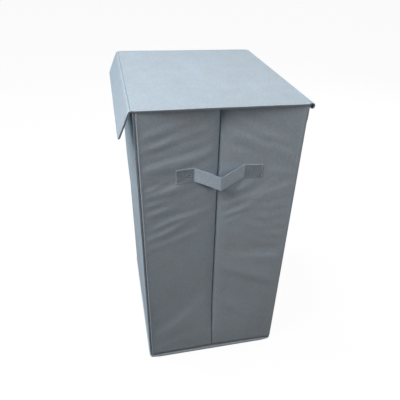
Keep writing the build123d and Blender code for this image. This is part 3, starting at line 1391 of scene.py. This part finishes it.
@dataclass
class FlatWall:
    """The front or the back wall: one cloth over one board."""

    SLACK: ClassVar = Ripple(rise=0.12, pitch=150.0, phase=0.3)
    face: int
    finishes: Finishes
    edge_slant: float = 2.0
    front_gap: float = 0.9
    front_bulge: float = 7.0
    bulge_low: Span = (250.0, 420.0)
    bulge_high: Span = (575.0, 455.0)
    most_relief: float = 0.9
    hinge_hem: float = 30.0
    side_calm: float = 24.0
    end_calm: float = 20.0
    stitch_inset: float = 6.0
    height_metres: float = 0.593

    @property
    def half(self) -> float:
        """Half the wall's width: the front wall stops short of the seam beside it."""
        return SIZES.width / 2.0 - (self.front_gap if self.face < 0 else 0.0)

    @property
    def word(self) -> str:
        """The wall's name as the frame's bodies spell it."""
        return "back" if self.face > 0 else "front"

    def relief(self, across: Array, up: Array) -> Array:
        """Height of the cloth's creases, calm at the edges.

        Args:
            across: Places along X.
            up: Heights above the floor.

        Returns:
            How far the outer cloth stands out at each place.
        """
        creases = (
            Crease((-150, 470), (40, 512), 14.0, 0.7),
            Crease((-60, 300), (160, 352), 18.0, 0.6),
            Crease((-170, 120), (-20, 190), 16.0, 0.6),
            Crease((40, 90), (170, 130), 14.0, 0.5),
        )
        ripples = (Ripple(0.35, 210.0, 0.9 * self.face), Ripple(0.15, 80.0, 1.9))
        calm = smooth_step(0.0, self.side_calm, self.half - np.abs(across))
        calm = calm * smooth_step(0.0, self.end_calm, up - SIZES.wall_bottom)
        hem = self.hinge_hem if self.face > 0 else 0.0
        calm = calm * smooth_step(hem, hem + self.end_calm, SIZES.height - up)
        return calm * Relief(creases, ripples).height(across * self.face, up)

    def bulge(self, across: Array, up: Array) -> Array:
        """How far the front wall's loose cloth swells out under the flap.

        Args:
            across: Places along X.
            up: Heights above the floor.

        Returns:
            The swelling at each place, none on the back wall.
        """
        if self.face > 0:
            return np.zeros_like(across)
        share = smooth_step(*self.bulge_low, up) * smooth_step(*self.bulge_high, up)
        return self.front_bulge * share * (1.0 - (across / self.half) ** 2)

    def outer(self, across: Array, up: Array) -> Array:
        """Outer face of the cloth.

        Args:
            across: Places along X.
            up: Heights above the floor.

        Returns:
            Points of the outer face.
        """
        stand = np.minimum(self.relief(across, up), self.most_relief) - bottom_tuck(up)
        y = self.face * (SIZES.depth / 2.0 + stand + self.bulge(across, up))
        return np.column_stack([across, y, up])

    def inner(self, across: Array, up: Array) -> Array:
        """Inner face of the lining.

        Args:
            across: Places along X.
            up: Heights above the floor.

        Returns:
            Points of the inner face, narrower than the outer one on the front wall.
        """
        slack = self.SLACK.height(across, up)
        y = np.full_like(across, SIZES.depth / 2.0 - SIZES.wall) - np.maximum(slack, 0.0)
        x = across if self.face > 0 else across * (1.0 - self.edge_slant / self.half)
        return np.column_stack([x, self.face * y, up])

    def build(self) -> None:
        """Model the wall's cloth and the stitches along its hems."""
        half = self.half
        cloth = ClothSheet(
            f"{self.word}_cloth",
            edged(half, margin=5.0, count=70),
            wall_rows(16.0, 595.0, 109),
            self.outer,
            self.inner,
            round_edge=0.8,
            crease=self.relief,
        ).build(self.finishes.cover, self.finishes.lining)
        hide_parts(*(f"{self.word}_{layer}" for layer in LAYERS))
        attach(cloth, self.word)
        reach = half - self.stitch_inset
        across = np.linspace(-reach, reach, 60)
        out = np.array([0.0, float(self.face), 0.0])
        levels = HEM_LEVELS if self.face < 0 else HEM_LEVELS[:1]
        lines = [(self.outer(across, np.full_like(across, level)), out) for level in levels]
        Sewing(self.finishes.thread).sew(f"{self.word}_stitches", lines, self.word)


@dataclass
class Lid:
    """The lid and its flap, under one cloth that bends at the crease.

    BACK_OUTER and BACK_INNER are the section's points, as Y and Z, where the lid lies on the
    hinge's roll.
    """

    BACK_OUTER: ClassVar = ((152.1, 605.4), (151.5, 605.45), (150.3, 605.3), (148.6, 605.0))
    BACK_INNER: ClassVar = ((151.2, 604.3), (150.8, 603.9), (149.8, 602.6), (148.6, 600.6))
    EDGE_WAVES: ClassVar = ((0.4, 41.0, 0.8), (0.25, 17.0, 0.0))
    finishes: Finishes
    corner: float = 6.0
    corner_cut: float = 0.85
    bend: float = 5.0
    groove: float = 2.1
    groove_width: float = 0.6
    groove_y: float = -151.8
    undercut: float = 2.8
    groove_margin: float = 7.0
    waist: float = 1.7
    waist_drop: float = 1.0
    waist_reach: float = 5.0
    wave_reach: float = 12.0
    inner_bend: Span = (-150.2, -153.7)
    flap_start: float = 9.0
    inner_lag: float = 2.0
    inner_start: float = 1.7
    calm_crease: float = 304.0
    calm_edge: float = 352.0
    side_calm: float = 30.0
    back_calm: float = 25.0
    crease_calm: float = 30.0
    flap_calm: float = 12.0
    stitch_inset: float = 7.0
    lid_stitches: Span = (9.0, 297.0)
    flap_stitches: float = 41.0

    def __post_init__(self) -> None:
        """Work out the section once."""
        self.flat, self.outer_line, self.inner_line = self.profile()
        self.heading = np.gradient(self.outer_line, self.flat, axis=0)
        nearest = int(np.argmin(np.abs(self.outer_line[:, 0] - self.groove_y)))
        self.crease = self.flat[nearest]

    def profile(self) -> tuple[Array, Array, Array]:
        """Section of the lid and flap, from the back edge to the flap's lower edge.

        Returns:
            Flat measures along the cloth, outer points and inner points, as Y and Z pairs.
        """
        lean = math.radians(SIZES.flap_lean)
        down = np.array([-math.sin(lean), -math.cos(lean)])
        out = np.array([-math.cos(lean), math.sin(lean)])
        axis = np.array([SIZES.crease_y, SIZES.crease_z])
        aside = out * (SIZES.flap_thick / 2)
        top = np.concatenate([np.linspace(145.0, -145.0, 62), [-147.5]])
        outer = [*self.BACK_OUTER, *((y, SIZES.lid_top) for y in top)]
        inner = [*self.BACK_INNER, *((y, SIZES.lid_bottom) for y in top)]
        ridge = axis + aside
        ridge = ridge + down * ((SIZES.lid_top - ridge[1]) / down[1])
        radius = self.bend / math.tan((math.pi / 2.0 - lean) / 2.0)
        hub = ridge + np.array([self.bend, -radius])
        inside = np.linspace(*self.inner_bend, 17)
        for turn, y in zip(np.radians(np.linspace(90.0, 180.0 - SIZES.flap_lean, 17)), inside):
            outer.append(hub + radius * np.array([math.cos(turn), math.sin(turn)]))
            inner.append((y, SIZES.lid_bottom))
        start = float(np.dot(outer[-1] - axis, down))
        hanging = np.linspace(self.flap_start, 42.0, 12)
        drops = [start + 1.5, start + 3.0, *hanging, 44.6, 46.6, 48.2, 49.0]
        for drop in drops:
            lag = self.inner_lag if drop < self.flap_start else 0.0
            outer.append(axis + aside + down * drop)
            inner.append(axis - aside + down * max(drop - lag, self.inner_start))
        return flat_measure(np.array(outer)), np.array(outer), np.array(inner)

    def relief(self, across: Array, along: Array) -> Array:
        """Height of the lid's soft dents, calm at the edges and the crease.

        Args:
            across: Places along X.
            along: Flat measures from the back edge.

        Returns:
            How far the outer cloth stands out at each place.
        """
        creases = (
            Crease((-120, 180), (150, 110), 26.0, 0.5),
            Crease((30, 40), (170, 90), 20.0, 0.4),
        )
        ripples = (Ripple(0.4, 230.0, 0.2), Ripple(0.12, 60.0))
        calm = smooth_step(0.0, self.side_calm, SIZES.lid_half - np.abs(across))
        calm = calm * smooth_step(0.0, self.back_calm, along)
        calm = calm * smooth_step(0.0, self.crease_calm, np.abs(along - self.calm_crease))
        calm = calm * smooth_step(0.0, self.flap_calm, self.calm_edge - along)
        return calm * Relief(creases, ripples).height(across, along)

    def face_at(self, line: Array, lift: float, across: Array, along: Array) -> Array:
        """One face of the cloth, its section laid along the lid's width.

        Args:
            line: The face's section.
            lift: 1 for the outer face, which has the dents and the crease, 0 for the inner.
            across: Places along X.
            along: Flat measures from the back edge.

        Returns:
            Points of the face, drawn in at the corners and at the crease.
        """
        place = along_line(self.flat, line, along)
        heading = along_line(self.flat, self.heading, along)
        near = np.minimum(along, self.flat[-1] - along)
        cut = self.corner - np.minimum(near, self.corner)
        narrow = self.corner_cut * (self.corner - np.sqrt(self.corner**2 - cut**2))
        below = (along - self.crease - self.waist_drop) / self.waist_reach
        narrow = narrow + self.waist * np.exp(-(below**2))
        narrow = narrow + self.undercut * (1.0 - lift)
        rim = SIZES.lid_half - np.abs(across)
        wave = waver(along, *self.EDGE_WAVES)
        x = across * (1.0 - narrow / SIZES.lid_half)
        x = x + np.sign(across) * wave * smooth_step(self.wave_reach, 0.0, rim)
        dent = np.exp(-(((along - self.crease) / self.groove_width) ** 2))
        dent = self.groove * dent * smooth_step(0.0, self.groove_margin, rim)
        rise = lift * (self.relief(across, along) - dent)
        y = place[:, 0] + rise * heading[:, 1]
        z = place[:, 1] - rise * heading[:, 0]
        return np.column_stack([x, y, z])

    def build(self) -> None:
        """Model the lid's cloth with its flap."""
        columns = edged(SIZES.lid_half, margin=5.0, count=70)
        upper = partial(self.face_at, self.outer_line, 1.0)
        lower = partial(self.face_at, self.inner_line, 0.0)
        cloth = ClothSheet(
            "lid_cloth", columns, self.flat, upper, lower, round_edge=1.5, crease=self.relief
        ).build(self.finishes.cover, self.finishes.lining)
        nodes = [f"{part}_{layer}" for part in ("lid", "flap") for layer in LAYERS]
        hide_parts("flap_crease", *nodes)
        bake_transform(cloth)
        self._sew(upper)

    def _sew(self, top: Surface) -> None:
        """Sew along the edges of the lid and of the flap.

        Args:
            top: The cloth's outer face.
        """
        side = SIZES.lid_half - self.stitch_inset
        across = np.linspace(-side, side, 60)
        along = np.linspace(*self.lid_stitches, 60)
        up = np.array([0.0, 0.0, 1.0])
        lid = [(top(np.full_like(along, x), along), up) for x in (-side, side)]
        lid += [(top(across, np.full_like(across, level)), up) for level in self.lid_stitches]
        Sewing(self.finishes.thread).sew("lid_stitches", lid, "lid")
        length = float(self.flat[-1])
        low = length - self.stitch_inset
        along = np.linspace(length - self.flap_stitches, low, 20)
        lean = math.radians(SIZES.flap_lean)
        out = np.array([0.0, -math.cos(lean), math.sin(lean)])
        flap = [(top(np.full_like(along, x), along), out) for x in (-side, side)]
        flap.append((top(across, np.full_like(across, low)), out))
        Sewing(self.finishes.thread).sew("flap_stitches", flap, "flap")


@dataclass
class HingeHem:
    """The rolled hem along the back wall's top, that the lid turns on."""

    finishes: Finishes
    cloth: float = 1.0
    thin_share: float = 0.25
    thin_run: float = 8.0
    sewn_height: float = 26.2
    sewn_drop: float = 27.8
    clear: float = 0.02
    roll_turns: Span = (180.0, -250.0)
    tighten: float = 1.3
    tighten_turns: Span = (40.0, 170.0)
    coil: float = 0.55
    coil_turn: float = 250.0

    def __post_init__(self) -> None:
        """Work out the strip's line and the way out of it once."""
        self.line = self.middle()
        self.flat = flat_measure(self.line)
        heading = np.gradient(self.line, self.flat, axis=0)
        heading /= np.linalg.norm(heading, axis=1)[:, None]
        self.normal = np.column_stack([-heading[:, 1], heading[:, 0]])

    def thickness(self, along: Array) -> Array:
        """Thickness of the strip along its length: thin where it is sewn flat to the wall."""
        full = smooth_step(0.0, self.thin_run, along)
        return self.cloth * (self.thin_share + (1.0 - self.thin_share) * full)

    def middle(self) -> Array:
        """Middle of the strip's thickness, up the wall and then round the roll.

        Returns:
            Its points, as Y and Z pairs.
        """
        levels = np.linspace(0.0, self.sewn_height, 14)
        strip = SIZES.depth / 2.0 + self.clear + self.thickness(levels) / 2.0
        rising = np.column_stack([strip, SIZES.hinge_z - self.sewn_drop + levels])
        turns = np.linspace(*self.roll_turns, 62)
        radius = SIZES.hinge_radius - self.cloth / 2.0
        radius = radius - self.tighten * smooth_step(*self.tighten_turns, -turns)
        past = np.maximum(0.0, -turns - self.tighten_turns[1])
        radius = radius - self.coil * past / self.coil_turn
        angle = np.radians(turns)
        y = SIZES.hinge_y + radius * np.cos(angle)
        z = SIZES.hinge_z + radius * np.sin(angle)
        return np.concatenate([rising, np.column_stack([y, z])])

    def face_at(self, offset: float, across: Array, along: Array) -> Array:
        """One face of the strip.

        Args:
            offset: Where the face lies, in thicknesses from the middle.
            across: Places along X.
            along: Flat measures from the strip's lower edge.

        Returns:
            Points of the face.
        """
        reach = offset * self.thickness(along)
        points = along_line(self.flat, self.line, along)
        points = points + reach[:, None] * along_line(self.flat, self.normal, along)
        return np.column_stack([across, points])

    def build(self) -> None:
        """Model the hem as one strip that runs up the wall and rolls over."""
        half = SIZES.width / 2.0
        columns = np.linspace(-half, half, 60)
        upper, lower = partial(self.face_at, 0.5), partial(self.face_at, -0.5)
        hem = ClothSheet(
            "lid_hinge_hem_cloth", columns, self.flat, upper, lower, round_edge=0.3
        ).build(self.finishes.cover, self.finishes.cover)
        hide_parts("lid_hinge_hem")
        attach(hem, "back")


@dataclass
class Base:
    """The bound rim, the bottom's cloth and the loose insert that lies on it."""

    finishes: Finishes
    rim_fullness: float = 0.7
    rim_corner: float = 6.5
    rim_round: float = 1.25
    turn_under: float = 2.4
    turn_reach: Span = (26.0, 3.0)
    sheet_corner: float = 8.0
    sheet_top: float = 1.0
    insert_bottom: float = 1.05
    dent: float = 0.2
    least_thick: float = 0.3
    long_edge_metres: float = 0.1
    long_edge_cuts: int = 36

    @staticmethod
    def halves(proud: float) -> Span:
        """Half the bottom's width and half its depth, with so much added all round."""
        return SIZES.width / 2.0 + proud, SIZES.depth / 2.0 + proud

    def build(self) -> None:
        """Model the rim and both sheets."""
        self._rim()
        sheet = self._sheet(
            "bottom_sheet_cloth", gap=0.1, top=self.sheet_top, bottom=0.0, edge=0.2
        )
        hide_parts("bottom_sheet")
        insert = self._sheet(
            "base_insert_cloth", gap=0.8, top=SIZES.insert_top, bottom=self.insert_bottom, edge=1.0
        )
        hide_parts("base_insert_cover", "base_insert_board")

    def _sheet(
        self, name: str, gap: float, top: float, bottom: float, edge: float
    ) -> bpy.types.Object:
        """Model a flat sheet that lies inside the rim.

        Args:
            name: The sheet's name.
            gap: How far it stays clear of the rim.
            top: Height of its upper face.
            bottom: Height of its lower face.
            edge: Rounding of its edges.

        Returns:
            The sheet, riding on the back wall's body.
        """
        wide, deep = self.halves(SIZES.rim_proud - SIZES.rim_width - gap)
        corner = self.sheet_corner
        dents = Ripple(rise=self.dent, pitch=160.0, phase=1.0)
        least = bottom + self.least_thick

        def outline(across: Array, along: Array) -> Array:
            """Places along X, drawn in where the corners are round."""
            cut = corner - np.minimum(deep - np.abs(along), corner)
            return across * (1.0 - (corner - np.sqrt(corner**2 - cut**2)) / wide)

        def upper(across: Array, along: Array) -> Array:
            """Points of the upper face, with shallow dents."""
            z = top + (dents.height(across, along) - self.dent)
            return np.column_stack([outline(across, along), along, np.maximum(z, least)])

        def lower(across: Array, along: Array) -> Array:
            """Points of the lower face, flat on what carries it."""
            z = np.full_like(across, bottom)
            return np.column_stack([outline(across, along), along, z])

        columns = edged(wide, margin=4.0, count=40)
        edge_rows = deep - corner * np.array([0.0, 0.08, 0.2, 0.4, 0.7])
        middle = np.linspace(corner - deep, deep - corner, 30)
        rows = np.concatenate([-edge_rows, middle, edge_rows[::-1]])
        lining = self.finishes.lining
        piece = ClothSheet(name, columns, rows, upper, lower, edge).build(lining, lining)
        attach(piece, "back")
        self._gather(piece)
        return piece

    @staticmethod
    def _gather(piece: bpy.types.Object) -> None:
        """Give a piece of the bottom its own copy of its mesh.

        Args:
            piece: The rim or a sheet.
        """
        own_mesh(piece)

    def _rim(self) -> None:
        """Model the binding round the bottom: an outline, inset to a band and drawn up."""
        Workbench.clear_selection()
        wide, deep = self.halves(SIZES.rim_proud + self.rim_fullness)
        bpy.ops.mesh.primitive_plane_add(size=1.0)
        rim = bpy.context.object
        rim.name = "bottom_rim_cloth"
        rim.data.name = "bottom_rim_cloth"
        rim.scale = (2.0 * wide * MM, 2.0 * deep * MM, 1.0)
        bpy.ops.object.transform_apply(scale=True)
        bpy.ops.object.mode_set(mode="EDIT")
        bpy.ops.mesh.select_all(action="SELECT")
        bpy.ops.mesh.bevel(offset=self.rim_corner * MM, segments=6, affect="VERTICES")
        bpy.ops.mesh.select_all(action="SELECT")
        bpy.ops.mesh.inset(thickness=(SIZES.rim_width + self.rim_fullness) * MM, depth=0.0)
        bpy.ops.mesh.delete(type="FACE")
        self._divide_long_edges(rim)
        bpy.ops.mesh.select_all(action="SELECT")
        bpy.ops.mesh.extrude_region_move(
            TRANSFORM_OT_translate={"value": (0.0, 0.0, SIZES.rim_height * MM)}
        )
        bpy.ops.mesh.select_all(action="SELECT")
        bpy.ops.mesh.normals_make_consistent(inside=False)
        bpy.ops.object.mode_set(mode="OBJECT")
        Workbench.soften(rim, self.rim_round, segments=4)
        self._turn_under(rim)
        # The binding's lighter colour is a painted highlight on the rim.
        rim.data.materials.append(self.finishes.binding)
        Workbench.settle(rim, SHARP_ANGLE)
        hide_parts("bottom_rim")
        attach(rim, "back")
        self._gather(rim)

    def _divide_long_edges(self, rim: bpy.types.Object) -> None:
        """Cut the band's long sides into short runs, in edit mode.

        Args:
            rim: The flat band.
        """
        bpy.ops.mesh.select_mode(type="EDGE")
        bpy.ops.mesh.select_all(action="DESELECT")
        bpy.ops.object.mode_set(mode="OBJECT")
        mesh = rim.data
        for edge in mesh.edges:
            first, last = (mesh.vertices[i].co for i in edge.vertices)
            edge.select = (first - last).length > self.long_edge_metres
        bpy.ops.object.mode_set(mode="EDIT")
        bpy.ops.mesh.subdivide(number_cuts=self.long_edge_cuts)
        bpy.ops.mesh.select_mode(type="VERT")

    def _turn_under(self, rim: bpy.types.Object) -> None:
        """Draw the rim's corners in towards the floor, where the binding turns under.

        Args:
            rim: The finished band.
        """
        mesh = rim.data
        places = np.zeros(len(mesh.vertices) * 3)
        mesh.vertices.foreach_get("co", places)
        places = places.reshape(-1, 3) / MM
        wide, deep = self.halves(SIZES.rim_proud + self.rim_fullness)
        apart = np.hypot(wide - np.abs(places[:, 0]), deep - np.abs(places[:, 1]))
        low = 1.0 - np.clip(places[:, 2] / SIZES.rim_height, 0.0, 1.0)
        step = self.turn_under * smooth_step(*self.turn_reach, apart) * low**2
        places[:, 0] -= np.sign(places[:, 0]) * step
        places[:, 1] -= np.sign(places[:, 1]) * step
        mesh.vertices.foreach_set("co", (places * MM).ravel())


@dataclass(frozen=True)
class Lamp:
    """A square soft lamp that faces the hamper, with its sizes in metres and power in watts."""

    name: str
    place: Place
    size: float
    power: float
    colour: Colour
    aim: Place = (0.0, 0.0, 0.35)

    def hang(self) -> None:
        """Add the lamp to the scene."""
        lamp = bpy.data.lights.new(self.name, "AREA")
        lamp.size = self.size
        lamp.energy = self.power
        lamp.color = self.colour
        piece = bpy.data.objects.new(self.name, lamp)
        bpy.context.collection.objects.link(piece)
        piece.location = self.place
        towards = Vector(self.aim) - Vector(self.place)
        piece.rotation_euler = towards.to_track_quat("-Z", "Y").to_euler()


LAMPS = (
    Lamp("key", (-0.3, -0.7, 2.6), 0.7, 31.5, (0.93, 0.97, 1.0)),
    Lamp("side", (0.56, -0.88, 1.32), 0.6, 8.0, (1.0, 0.955, 0.945)),
    Lamp("front", (-0.4, -1.8, 0.2), 0.9, 6.0, (0.42, 0.76, 1.0)),
    Lamp("rear", (1.3, 0.9, 1.0), 0.8, 4.5, (1.0, 0.91, 0.87)),
    Lamp("behind", (-1.1, 1.7, 1.3), 0.9, 12.0, (1.0, 0.98, 0.96)),
)


@dataclass
class Studio:
    """Floor, light and camera, with lengths in metres and angles in degrees."""

    camera_place: Place = (0.8414, -0.1809, 0.8373)
    azimuth: float = 75.03
    elevation: float = 35.95
    roll: float = 2.85
    lens: float = 37.69
    sensor_width: float = 36.0
    clip_start: float = 0.01
    shift: Span = (-0.0358, 0.084)
    world_level: float = 0.055
    world_tint: Colour = (1.0, 0.98, 0.97)
    floor_size: float = 40.0
    floor_drop: float = 0.0004
    floor_shade: float = 0.09
    floor_glow: float = 0.95

    def build(self) -> None:
        """Set up the floor, the lamps, the world and the camera."""
        self._floor()
        for lamp in LAMPS:
            lamp.hang()
        self._world()
        self._camera()
        bpy.context.scene.view_settings.view_transform = "Standard"

    def _world(self) -> None:
        """Light the scene evenly, with white where the camera looks past the floor."""
        world = bpy.data.worlds.new("studio")
        bpy.context.scene.world = world
        world.use_nodes = True
        wiring = Wiring(world.node_tree)
        seen = wiring.seen()
        span = {"Value": seen, "To Min": self.world_level, "To Max": 1.0}
        level = wiring.add("MapRange", span).outputs["Result"]
        fade = {0: seen, 6: (*self.world_tint, 1.0), 7: (1.0, 1.0, 1.0, 1.0)}
        tint = wiring.add("Mix", fade, data_type="RGBA").outputs[2]
        wiring.feed(world.node_tree.nodes["Background"], {"Strength": level, "Color": tint})

    def _floor(self) -> None:
        """Lay a pale floor that shows white to the camera and keeps the shadow."""
        Workbench.clear_selection()
        place = (0.0, 0.0, -self.floor_drop)
        bpy.ops.mesh.primitive_plane_add(size=self.floor_size, location=place)
        floor = bpy.context.object
        floor.name = "floor"
        material = bpy.data.materials.new("floor")
        material.use_nodes = True
        wiring = Wiring(material.node_tree)
        share = {0: wiring.seen(), 1: self.floor_glow}
        glow = wiring.add("Math", share, operation="MULTIPLY").outputs["Value"]
        surface = {
            "Base Color": (self.floor_shade, self.floor_shade, self.floor_shade, 1.0),
            "Roughness": 1.0,
            "Specular IOR Level": 0.0,
            "Emission Color": (1.0, 1.0, 1.0, 1.0),
            "Emission Strength": glow,
        }
        wiring.feed(material.node_tree.nodes["Principled BSDF"], surface)
        floor.data.materials.append(material)

    def _camera(self) -> None:
        """Place the camera by its direction, roll and shift."""
        az, el, roll = (math.radians(v) for v in (self.azimuth, self.elevation, self.roll))
        back = Vector((math.sin(az) * math.cos(el), -math.cos(az) * math.cos(el), math.sin(el)))
        level = Vector((math.cos(az), math.sin(az), 0.0))
        up = back.cross(level)
        right = math.cos(roll) * level + math.sin(roll) * up
        above = -math.sin(roll) * level + math.cos(roll) * up
        data = bpy.data.cameras.new("camera")
        data.sensor_width = self.sensor_width
        data.lens = self.lens
        data.shift_x, data.shift_y = self.shift
        data.clip_start = self.clip_start
        camera = bpy.data.objects.new("camera", data)
        bpy.context.collection.objects.link(camera)
        turn = Matrix((right, above, back)).transposed().to_4x4()
        camera.matrix_world = Matrix.Translation(Vector(self.camera_place)) @ turn
        bpy.context.scene.camera = camera


def main() -> None:
    """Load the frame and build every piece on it."""
    logging.basicConfig(level=logging.INFO, format="%(name)s: %(message)s")
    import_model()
    finishes = Finishes()
    Base(finishes).build()
    for face in (1, -1):
        FlatWall(face, finishes).build()
    for side in Side:
        Gusset(side, finishes).build()
    Lid(finishes).build()
    HingeHem(finishes).build()
    Studio().build()


if __name__ == "__main__":
    main()
